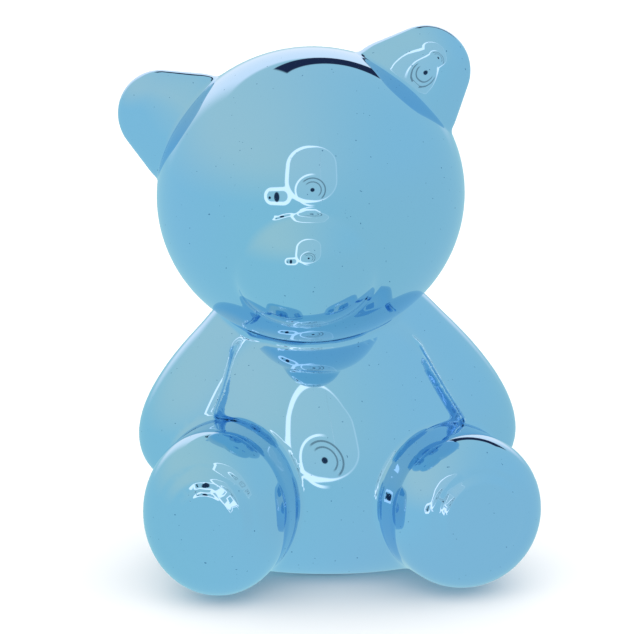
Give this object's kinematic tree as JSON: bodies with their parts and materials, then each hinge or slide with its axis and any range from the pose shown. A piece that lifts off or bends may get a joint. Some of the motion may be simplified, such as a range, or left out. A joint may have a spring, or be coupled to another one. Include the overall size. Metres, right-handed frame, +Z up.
{
  "type": "money bank",
  "caption": "Hollow ceramic money bank shaped as a sitting teddy bear with its head cocked; coin slot behind the head, rubber stopper in the base, mirror-like pale blue glaze.",
  "frame": {"origin": "under the middle of the bear's box, on the surface that it stands on", "axes": "+Z up; -Y the way the bear faces; +X the bear's own left"},
  "size_m": [0.1138, 0.0846, 0.1535],
  "materials": {
    "plated_glaze": "mirror-like electroplated glaze, pale blue",
    "stopper_rubber": "matte, moulded",
    "pad_rubber": "satin, translucent white"
  },
  "bodies": {
    "bear": {"body_shell": "plated_glaze", "pad_front_right": "pad_rubber", "pad_front_left": "pad_rubber", "pad_rear_right": "pad_rubber", "pad_rear_left": "pad_rubber"},
    "stopper": {"stopper": "stopper_rubber"}
  },
  "joints": [
    {"name": "stopper_pull", "type": "slide", "parent": "bear", "child": "stopper", "axis": [0, 0, -1], "range_m": [0, 0.025]}
  ]
}
